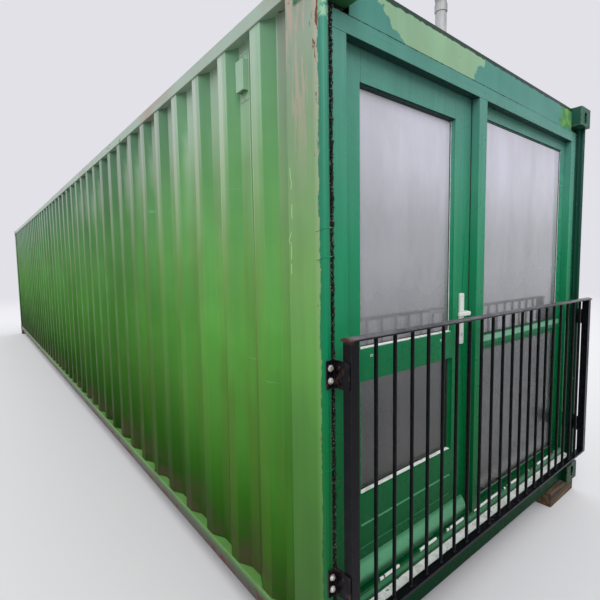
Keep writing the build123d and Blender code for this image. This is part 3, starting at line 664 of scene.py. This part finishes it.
LOOKS = {make.__name__: make(Look(make.__name__)) for make in (
    header_paint, post_paint, casting_paint, roof_paint, underframe_paint, floor_ply, timber, white_plastic,
    glass, handle_white, sealant, vent_plastic)}
LOOKS.update((name, make(Look(name), *settings)) for name, make, *settings in (
    ("side_wall_paint", wall_paint, "X"),
    ("rear_wall_paint", wall_paint, "Y"),
    ("top_rail_paint", rail_paint, True),
    ("bottom_rail_paint", rail_paint, False),
    ("screen_paint_upright", screen_paint, UPRIGHT),
    ("screen_paint_level", screen_paint, LEVEL),
    ("door_paint", screen_paint, UPRIGHT, "leaf"),
    ("weather_board_paint", screen_paint, LEVEL, "board"),
    ("fixed_light_paint", screen_paint, LEVEL, "light"),
    ("sill_paint", screen_paint, LEVEL, "sill"),
    ("bottom_rail_screen_paint", screen_paint, LEVEL, "bottom"),
    ("black_paint", black_paint),
    ("bracket_paint", black_paint, True),
    ("pipe_plastic", plain_look, ((12.0, 5.0, 0.6, (1, 1, 0.3)), 0.4, 0.7), (196, 194, 198), (150, 148, 150),
     0.45, ((70.0, 3.0), 0.1, 0.0004)),
    ("gasket", plain_look, ((60.0,),), (14, 14, 14), (40, 40, 38), 0.6, ((120.0,), 0.2, 0.0004)),
    ("hinge_steel", plain_look, ((50.0, 5.0), 0.5, 0.7, 0.0, 0.5), (206, 206, 204), (126, 118, 108),
     0.35, ((80.0, 3.0), 0.1, 0.0004)),
    ("zinc", plain_look, ((70.0, 5.0), 0.45, 0.7), (214, 212, 208), (140, 128, 116),
     0.38, ((120.0,), 0.2, 0.0004), 0.4),
))

# Each CAD node takes the first line that its name starts with: its look and its soft edge in millimetres
NODE_LOOKS = (
    ("casting_", "casting_paint", 3.0),
    ("corner_post_front", "post_paint", 2.0),
    ("corner_post_rear", "side_wall_paint", 2.0),
    ("top_rail", "top_rail_paint", 3.0),
    ("bottom_rail", "bottom_rail_paint", 2.0),
    ("front_header", "header_paint", 3.0),
    ("front_sill", "sill_paint", 2.0),
    ("rear_sill", "bottom_rail_paint", 0),
    ("rear_", "rear_wall_paint", 0),
    ("side_wall", "side_wall_paint", 0),
    ("roof_panel", "roof_paint", 0),
    ("cross_members", "underframe_paint", 0),
    ("floor", "floor_ply", 0),
    ("timber_block", "timber", 6.0),
    ("frame_jamb", "screen_paint_upright", 2.0),
    ("frame_mullion", "screen_paint_upright", 2.0),
    ("frame_bottom_rail", "bottom_rail_screen_paint", 2.0),
    ("frame_", "screen_paint_level", 2.0),
    ("window_cill", "white_plastic", 1.5),
    ("fixed_light_frame", "fixed_light_paint", 1.5),
    ("fixed_light_glass", "glass", 0),
    ("door_leaf", "door_paint", 1.5),
    ("door_glass", "glass", 0),
    ("weather_board", "weather_board_paint", 1.0),
    ("handle_plate", "handle_white", 1.5),
    ("door_lever", "handle_white", 0),
    ("hinge_", "hinge_steel", 0),
    ("perimeter_sealant", "sealant", 0),
    ("front_railing", "black_paint", 1.0),
    ("railing_bracket", "bracket_paint", 1.0),
    ("side_vent", "vent_plastic", 0.5),
    ("roof_pipe", "pipe_plastic", 0),
)
JOIN_GAP = 0.05
SOFT_ANGLE = 35


def dress_cad_nodes():
    for name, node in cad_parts.items():
        look, edge = next(line[1:] for line in NODE_LOOKS if name.startswith(line[0]))
        if not node.material_slots:
            node.data.materials.append(LOOKS[look])
        for material_slot in node.material_slots:
            material_slot.material = LOOKS[look]
        if edge:
            weld = node.modifiers.new("join", "WELD")
            weld.merge_threshold = JOIN_GAP * MM
            bevel = node.modifiers.new("soft_edges", "BEVEL")
            bevel.width = edge * MM
            bevel.segments = 2
            bevel.limit_method = "ANGLE"
            bevel.angle_limit = math.radians(SOFT_ANGLE)
            bevel.harden_normals = True


# Mesh helpers
def add_piece(name, shape, look, body="root", smooth_under=None):
    """Turns a finished shape into a piece that rides on a body."""
    mesh = bpy.data.meshes.new(name)
    bmesh.ops.recalc_face_normals(shape, faces=shape.faces)
    shape.to_mesh(mesh)
    shape.free()
    piece = bpy.data.objects.new(name, mesh)
    bpy.context.scene.collection.objects.link(piece)
    mesh.materials.append(LOOKS[look])
    if smooth_under is not None:
        mesh.shade_smooth()
        mesh.set_sharp_from_angle(angle=math.radians(smooth_under))
    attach(piece, body)
    return piece


def join_loops(shape, loops):
    """Faces between closed loops of points, one after another, and over both ends."""
    for here, there in zip(loops, loops[1:]):
        for point in range(len(here)):
            after = (point + 1) % len(here)
            shape.faces.new((here[point], here[after], there[after], there[point]))
    shape.faces.new(loops[0])
    shape.faces.new(loops[-1])


def add_ring(shape, box, section, sides=(0, 1, 2, 3)):
    """A mitred ring round an opening (x0, x1, z0, z1), or some of its sides: bottom, right, top, left.

    The section lists (inset, y) points, going round.
    """
    x0, x1, z0, z1 = box
    corners = ((x0, z0, 1, 1), (x1, z0, -1, 1), (x1, z1, -1, -1), (x0, z1, 1, -1))
    for side in sides:
        ends = (corners[side], corners[(side + 1) % 4])
        join_loops(shape, [[shape.verts.new(spot(x + way_x * inset, y, z + way_z * inset))
                            for inset, y in section] for x, z, way_x, way_z in ends])


def add_lathe(shape, centre, axis, profile, sides=24):
    """A closed turned shape: (radius, distance along the axis) points from one end to the other."""
    turn = Vector(axis).to_track_quat("Z", "Y")
    rings = []
    for radius, along in profile:
        ring = []
        for side in range(sides):
            angle = 2 * math.pi * side / sides
            offset = turn @ Vector((radius * math.cos(angle), radius * math.sin(angle), along))
            ring.append(shape.verts.new(spot(*(Vector(centre) + offset))))
        rings.append(ring)
    join_loops(shape, rings)


# Beads of weld, sealant and the like: width, height, step along the bead, unevenness
WELD = (9, 4, 12, 0.5)
THIN_WELD = (9, 2, 12, 0.5)
LUG_WELD = (5, 2, 6, 0.8)
SIDE_SEALANT = (10, 6, 6, 1.5)
HEAD_SEALANT = (3, 2.5, 12, 1.0)
VENT_SLAT = (3.5, 4, 6, 0.0)
BEAD_ARC = (0, 36, 72, 108, 144, 180)


def add_bead(shape, start, end, across, out, size, seed):
    """A bead between two points: half round, uneven, closed at both ends."""
    width, proud, step, wobble = size
    start, end = Vector(start), Vector(end)
    across, out = Vector(across), Vector(out)
    count = max(2, int((end - start).length / step))
    chance = random.Random(seed)
    loops = []
    for at in range(count + 1):
        middle = start.lerp(end, at / count)
        swell = 1 + wobble * (chance.random() - 0.5)
        drift = wobble * width * 0.3 * (chance.random() - 0.5)
        ridge = 1.0 if at % 2 else 0.82
        loop = []
        for angle in BEAD_ARC:
            side = math.cos(math.radians(angle)) * width / 2 * swell + drift
            lift = math.sin(math.radians(angle)) * proud * swell * ridge
            loop.append(shape.verts.new(spot(*(middle + across * side + out * lift))))
        loops.append(loop)
    join_loops(shape, loops)


# Panes: left, right, bottom and top edge, the sides with white beads, the sides with a white lip only
BOTTOM_SIDE, RIGHT_SIDE = 0, 1
DOOR_PANES = (((264, 934, 1222, 2258), (BOTTOM_SIDE,), (RIGHT_SIDE,)),
              ((264, 934, 612, 1090), (BOTTOM_SIDE,), ()))
LIGHT_PANES = (((1211, 2228, 1171, 2316), (), (RIGHT_SIDE,)),
               ((1211, 2228, 254, 1097), (BOTTOM_SIDE,), ()))
BEAD_INSET = 7
BEAD_SPLIT = 4
GASKET_INSET = 3


def add_glazing(name, holder, panes, body):
    """Beads round each pane, painted over except where left white, and a black gasket at the glass."""
    face, back = reach(holder)[0].y, reach(name + "_glass")[0].y
    bare = bmesh.new()
    painted = bmesh.new()
    gaskets = bmesh.new()
    slant = ((0.0, face + 9), (2.0, face + 7))
    whole = slant + ((BEAD_INSET, back - 4), (BEAD_INSET, back), (0.0, back))
    outer = slant + ((BEAD_SPLIT, back - 5), (BEAD_SPLIT, back), (0.0, back))
    lip = ((BEAD_SPLIT, back - 5), (BEAD_INSET, back - 4), (BEAD_INSET, back), (BEAD_SPLIT, back))
    gasket = ((0.0, back - 3), (1.5, back - 3.5), (GASKET_INSET, back - 0.3), (GASKET_INSET, back),
              (0.0, back))
    for box, bare_sides, lip_sides in panes:
        add_ring(bare, box, whole, bare_sides)
        add_ring(bare, box, lip, lip_sides)
        add_ring(painted, box, outer, lip_sides)
        add_ring(painted, box, whole, [side for side in range(4) if side not in bare_sides + lip_sides])
        x0, x1, z0, z1 = box
        inner = (x0 + BEAD_INSET, x1 - BEAD_INSET, z0 + BEAD_INSET, z1 - BEAD_INSET)
        add_ring(gaskets, inner, gasket)
    add_piece(name + "_beads", bare, "white_plastic", body)
    add_piece(name + "_painted_beads", painted, "screen_paint_level", body)
    add_piece(name + "_gaskets", gaskets, "gasket", body)


# Corrugated side sheets with rounded bends
BEND_RADIUS = 24
BEND_STEPS = 5
SHEET_ROWS = 24
SHEET_THICKNESS = 2
DENT = 5
DENT_FADE = 250


def round_corner(before, corner, after):
    """Points of a rounded bend between two straight runs."""
    into, out = (corner - before).normalized(), (after - corner).normalized()
    back = BEND_RADIUS * math.tan(into.angle(out) / 2)
    start, end = corner - into * back, corner + out * back
    shares = [step / BEND_STEPS for step in range(BEND_STEPS + 1)]
    return [start.lerp(corner, share).lerp(corner.lerp(end, share), share) for share in shares]


def sheet_line(low, high):
    """The wall's section from front to rear as (depth from the crest, y) points."""
    depth = high.x - low.x - SHEET_THICKNESS
    corners = [Vector((depth, low.y))]
    y = SHEET_LEAD
    for _ in range(RIDGES):
        corners += [Vector((depth, y)), Vector((0, y + SLOPE)), Vector((0, y + SLOPE + OUTER_FLAT)),
                    Vector((depth, y + 2 * SLOPE + OUTER_FLAT))]
        y += PITCH
    corners.append(Vector((depth, high.y)))
    line = [corners[0]]
    for before, corner, after in zip(corners, corners[1:], corners[2:]):
        line += round_corner(before, corner, after)
    line.append(corners[-1])
    return line


def add_side_sheet(side_name, side):
    """The corrugated wall with round bends and shallow dents, in place of the CAD sheet."""
    node = "side_wall_" + side_name
    low, high = reach(node)
    line = sheet_line(low, high)
    crest = low.x if side < 0 else high.x
    shape = bmesh.new()
    layers = []
    for thickness in (0, SHEET_THICKNESS):
        rows = []
        for row in range(SHEET_ROWS + 1):
            z = low.z + (high.z - low.z) * row / SHEET_ROWS
            points = []
            for depth, y in line:
                waves = noise.noise(Vector((side * 7.0, y * 0.0022, z * 0.0016))) + 0.3
                edge = min(1.0, (z - low.z) / DENT_FADE, (high.z - z) / DENT_FADE)
                dent = DENT * max(0.0, waves) * edge
                x = crest - side * (min(depth + dent, high.x - low.x - SHEET_THICKNESS) + thickness)
                points.append(shape.verts.new(spot(x, y, z)))
            rows.append(points)
        layers.append(rows)
    outer, inner = layers
    spans = range(len(line) - 1)
    strips = [pair for rows in layers for pair in zip(rows, rows[1:])]
    strips += [(outer[row], inner[row]) for row in (0, SHEET_ROWS)]
    for here, there in strips:
        for at in spans:
            shape.faces.new((here[at], here[at + 1], there[at + 1], there[at]))
    for row in range(SHEET_ROWS):
        for at in (0, len(line) - 1):
            shape.faces.new((outer[row][at], outer[row + 1][at], inner[row + 1][at], inner[row][at]))
    piece = add_piece("side_sheet_" + side_name, shape, "side_wall_paint", smooth_under=50)
    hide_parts(node)


# Sealant and welds
SEALANT_OUT = 5
SEALANT_BACK = 2
SEALANT_SHORT = 4


def add_sealant():
    """Black sealant squeezed into the gap between the posts, the header and the screen."""
    beads = bmesh.new()
    y = SCREEN_FACE + SEALANT_BACK
    for seed, x in ((1, SCREEN_LEFT - SEALANT_OUT), (2, SCREEN_RIGHT + SEALANT_OUT)):
        add_bead(beads, (x, y, SILL_TOP), (x, y, HEADER_BOTTOM - SEALANT_SHORT), ACROSS, FRONTWARD,
                 SIDE_SEALANT, seed)
    add_bead(beads, (SCREEN_LEFT, y, HEADER_BOTTOM), (SCREEN_RIGHT, y, HEADER_BOTTOM), UPWARD, FRONTWARD,
             HEAD_SEALANT, 3)
    add_piece("sealant_beads", beads, "sealant", smooth_under=60)


# Weld lines left on the posts where hinges were cut off: heights, path as (inset, back, rise), ways out
LUG_LINES = {"left": (831, 910, 1590, 1688), "right": (1590, 1688, 2296, 2392)}
LUG_PATH = ((33, 0, 3), (12, 0, 0), (3.5, 3.5, 0), (0, 12, -2), (0, 44, -6))
LUG_OUT = ((0, -1), (0.38, -0.92), (0.92, -0.38), (1, 0))


# How far back the wall's weld lies, and where the castings' welds start and stop
WALL_WELD_BACK = 2
SIDE_WELD_START, SIDE_WELD_SHORT = 10, 6
FRONT_WELD_START, FRONT_WELD_END = 4, 24


def add_welds():
    """Uneven weld beads where posts, castings and sheets meet, and weld lines where hinges were cut off."""
    welds = bmesh.new()
    lugs = bmesh.new()
    for seed, (side_name, side) in zip((10, 15), SIDES):
        low, high = reach("side_wall_" + side_name)
        post_low, post_high = reach("corner_post_front_" + side_name)
        outer = post_low.x if side < 0 else post_high.x
        trough = (high.x if side < 0 else low.x) + side * SHEET_THICKNESS
        for z in LUG_LINES[side_name]:
            path = [(outer - side * inset, POST_FACE + back, z + rise) for inset, back, rise in LUG_PATH]
            for start, end, (way_x, way_y) in zip(path, path[1:], LUG_OUT):
                add_bead(lugs, start, end, UPWARD, (way_x * side, way_y, 0), LUG_WELD, seed + 3)
        out = (side, 0, 0)
        casting_low, casting_high = reach("casting_top_front_" + side_name)
        bottom = reach("casting_bottom_front_" + side_name)[1].z
        y = post_high.y + WALL_WELD_BACK
        add_bead(welds, (trough, y, low.z), (trough, y, high.z), REARWARD, out, WELD, seed)
        for z in (bottom, casting_low.z):
            add_bead(welds, (outer, POST_FACE + SIDE_WELD_START, z),
                     (outer, casting_high.y - SIDE_WELD_SHORT, z), UPWARD, out, THIN_WELD, seed + 1)
            add_bead(welds, (outer - side * FRONT_WELD_START, POST_FACE, z),
                     (outer - side * FRONT_WELD_END, POST_FACE, z), UPWARD, FRONTWARD, WELD, seed + 2)
    add_piece("weld_beads", welds, "side_wall_paint", smooth_under=50)
    add_piece("post_weld_lines", lugs, "post_paint", smooth_under=50)


BAR_COUNT = 20
BAR_MARGIN = 48
BAR_DEPTH = 25
HANDRAIL_THICKNESS = 14
FOOT_RAIL_THICKNESS = 12
BAR_WELD_PROFILE = ((12, -1), (11, 2), (9, 5), (8.2, 6))


def add_bar_welds():
    """Small fillet welds where each bar meets the rails."""
    welds = bmesh.new()
    low, high = reach("front_railing")
    first, last = low.x + BAR_MARGIN, high.x - BAR_MARGIN
    gap = (last - first) / (BAR_COUNT + 1)
    for bar in range(1, BAR_COUNT + 1):
        for z, way in ((high.z - HANDRAIL_THICKNESS, -1), (low.z + FOOT_RAIL_THICKNESS, 1)):
            add_lathe(welds, (first + bar * gap, low.y + BAR_DEPTH, z), (0, 0, way), BAR_WELD_PROFILE, 12)
    add_piece("bar_welds", welds, "black_paint", smooth_under=50)


# Bolts, screws and small fittings, as (radius, distance along the axis) or (inset, distance from the face)
BOLT_PROFILE = ((12, 0), (12, 1.6), (9, 2.0), (9, 5.5), (7.5, 7.5), (3.5, 8.0), (3.2, 5.0))
SCREW_PROFILE = ((4.5, -0.5), (4.5, 0.8), (3.2, 1.6), (1.2, 1.6), (1.0, 0.6))
LOCK_PROFILE = ((8.5, 0), (8.5, 3.2), (7.6, 4.0), (2, 4.0), (2, 1.0))
COLLAR_PROFILE = ((62, -2), (62, 3), (52, 6), (45, 14), (44, 24), (40, 26))
KEY_SECTION = ((0.0, -0.6), (0.7, -0.9), (1.4, -0.4), (1.4, 1), (0.0, 1))
WEEP_SECTION = ((0.0, 0), (0.5, -1.6), (1.6, -2.2), (2.4, -1.6), (2.4, 0))
SEAL_SECTION = ((1.0, -2.5), (4.0, -3.2), (5.5, -0.2), (5.5, 0.5), (1.0, 0.5))
BOLT_INSET = 18
BOLT_SPREAD = 22.5
BRACKET_HEIGHT = 100
BRACKET_THICKNESS = 6
PLATE_SCREW_INSET = 17
LOCK_RISE = 52
LOCK_SUNK = 1
KEY_HALF_WIDTH = 1.5
KEY_BOTTOM, KEY_TOP = 12, 2
WEEP_PLACES = (329, 833)
WEEP_HALF_WIDTH = 8
WEEP_HEIGHTS = (1186, 1196)
VENT_PROUD = 5
VENT_SCREW_INSET = 9
VENT_SCREW_SPREAD = 20
SLAT_COUNT = 6
SLAT_PITCH = 8
SLAT_RISE = 40
SLAT_OUT = 10
SLAT_MARGIN = 4
PIPE_SOCKET_RADIUS = 44


def add_door_rims(name, look, boxes, section, face):
    """Rings on the door, whose section is measured from a face."""
    rims = bmesh.new()
    for box in boxes:
        add_ring(rims, box, [(inset, face + y) for inset, y in section])
    add_piece(name, rims, look, "door")


def add_bracket_bolts():
    bolts = bmesh.new()
    for side_name, x in (("left", BOLT_INSET), ("right", WIDTH - BOLT_INSET)):
        low, high = reach("railing_bracket_" + side_name)
        for centre_z in (low.z + BRACKET_HEIGHT / 2, high.z - BRACKET_HEIGHT / 2):
            for rise in (-BOLT_SPREAD, BOLT_SPREAD):
                add_lathe(bolts, (x, high.y - BRACKET_THICKNESS, centre_z + rise), FRONTWARD, BOLT_PROFILE)
    add_piece("bracket_bolts", bolts, "zinc", smooth_under=40)


def add_handle_parts():
    """Two plate screws, the lock cylinder and its dark key slot."""
    low, high = reach("handle_plate")
    x = (low.x + high.x) / 2
    screws = bmesh.new()
    for z in (low.z + PLATE_SCREW_INSET, high.z - PLATE_SCREW_INSET):
        add_lathe(screws, (x, low.y, z), FRONTWARD, SCREW_PROFILE)
    lock_z = low.z + LOCK_RISE
    add_lathe(screws, (x, low.y + LOCK_SUNK, lock_z), FRONTWARD, LOCK_PROFILE, 32)
    add_piece("handle_screws", screws, "zinc", "door", 40)
    slit = (x - KEY_HALF_WIDTH, x + KEY_HALF_WIDTH, lock_z - KEY_BOTTOM, lock_z - KEY_TOP)
    add_door_rims("key_slot", "gasket", (slit,), KEY_SECTION, low.y)


def add_weep_caps():
    """White hooded caps over the drain slots of the door's middle rail."""
    caps = [(x - WEEP_HALF_WIDTH, x + WEEP_HALF_WIDTH, *WEEP_HEIGHTS) for x in WEEP_PLACES]
    face = reach("door_leaf")[0].y
    add_door_rims("weep_caps", "white_plastic", caps, WEEP_SECTION, face)


def add_door_seal():
    """The black rubber lip round the door leaf."""
    low, high = reach("door_leaf")
    edge = (low.x, high.x, low.z, high.z)
    add_door_rims("door_seal", "gasket", (edge,), SEAL_SECTION, low.y)


def add_vent_parts():
    """Screws and a slatted grille on both side vents."""
    screws = bmesh.new()
    slats = bmesh.new()
    for side_name, side in SIDES:
        low, high = reach("side_vent_" + side_name)
        plate = (high.x if side < 0 else low.x) + side * VENT_PROUD
        y = (low.y + high.y) / 2
        top, bottom = high.z - VENT_SCREW_INSET, low.z + VENT_SCREW_INSET
        for screw_y, z in ((y - VENT_SCREW_SPREAD, top), (y + VENT_SCREW_SPREAD, top), (y, bottom)):
            add_lathe(screws, (plate, screw_y, z), (side, 0, 0), SCREW_PROFILE)
        x = plate + side * SLAT_OUT
        for slat in range(SLAT_COUNT):
            z = low.z + SLAT_RISE + SLAT_PITCH * slat
            add_bead(slats, (x, low.y + SLAT_MARGIN, z), (x, high.y - SLAT_MARGIN, z), UPWARD, (side, 0, 0),
                     VENT_SLAT, 1)
    add_piece("vent_screws", screws, "zinc", smooth_under=40)
    add_piece("vent_slats", slats, "vent_plastic")


def add_pipe_ring():
    """The rubber collar at the pipe's foot."""
    low, high = reach("roof_pipe")
    roof = reach("roof_panel")[1].z
    ring = bmesh.new()
    centre = (high.x - PIPE_SOCKET_RADIUS, (low.y + high.y) / 2, roof)
    add_lathe(ring, centre, UPWARD, COLLAR_PROFILE, 32)
    add_piece("pipe_collar", ring, "gasket", smooth_under=40)


# Floor and sky: what is seen of them, and what lights the object
SKY = (226, 225, 232)
FLOOR = (204, 203, 204)
FLOOR_AS_LIGHT = (134, 132, 126)
FLOOR_SIZE = 400.0
FADE_START, FADE_END = 7.0, 26.0
SUN_AIM = (0.55, 0.62, -0.85)
SUN_ANGLE = 50
SUN_POWER = 1.5
SKY_LOW = (0.50, 0.51, 0.53, 1.0)
SKY_HIGH = (1.35, 1.37, 1.42, 1.0)


def make_floor():
    """A pale floor that fades into the background away from the object."""
    bpy.ops.mesh.primitive_plane_add(size=FLOOR_SIZE, location=(0, 0, 0))
    floor = bpy.context.object
    floor.name = "stage_floor"
    look = Look("stage_floor")
    seen = look.seen()
    look.colour = look.blend(seen, FLOOR_AS_LIGHT, FLOOR)
    floor.data.materials.append(look.finish(1.0, shine=0.0))
    distance = look.add("ShaderNodeVectorMath", {0: look.coords}, operation="LENGTH").outputs["Value"]
    fade = look.times(look.span(distance, FADE_START, FADE_END), seen)
    glow = look.add("ShaderNodeEmission", {"Color": SKY}).outputs[0]
    mix = look.add("ShaderNodeMixShader", {0: fade, 1: look.shader.outputs[0], 2: glow}).outputs[0]
    look.feed(look.tree.nodes["Material Output"].inputs["Surface"], mix)


def make_sky():
    """An overcast dome, brighter overhead, and one wide soft lamp from the front left."""
    world = bpy.data.worlds.new("sky")
    bpy.context.scene.world = world
    world.use_nodes = True
    sky = Nodes(world.node_tree)
    up = sky.axes(sky.add("ShaderNodeTexCoord").outputs["Generated"])["Z"]
    dome = sky.blend(sky.span(up, 0.0, 0.9), SKY_LOW, SKY_HIGH)
    sky.feed(sky.tree.nodes["Background"].inputs["Color"], sky.blend(sky.seen(), dome, SKY))
    lamp = bpy.data.objects.new("soft_lamp", bpy.data.lights.new("soft_lamp", "SUN"))
    lamp.data.energy = SUN_POWER
    lamp.data.angle = math.radians(SUN_ANGLE)
    lamp.rotation_mode = "QUATERNION"
    lamp.rotation_quaternion = Vector(SUN_AIM).to_track_quat("-Z", "Y")
    bpy.context.scene.collection.objects.link(lamp)


bpy.context.scene.view_settings.view_transform = "Standard"
make_camera()
make_floor()
make_sky()
dress_cad_nodes()
add_side_sheet("left", -1)
add_side_sheet("right", 1)
add_glazing("door", "door_leaf", DOOR_PANES, "door")
add_glazing("fixed_light", "fixed_light_frame", LIGHT_PANES, "root")
add_sealant()
add_welds()
add_bracket_bolts()
add_handle_parts()
add_weep_caps()
add_door_seal()
add_vent_parts()
add_pipe_ring()
add_bar_welds()
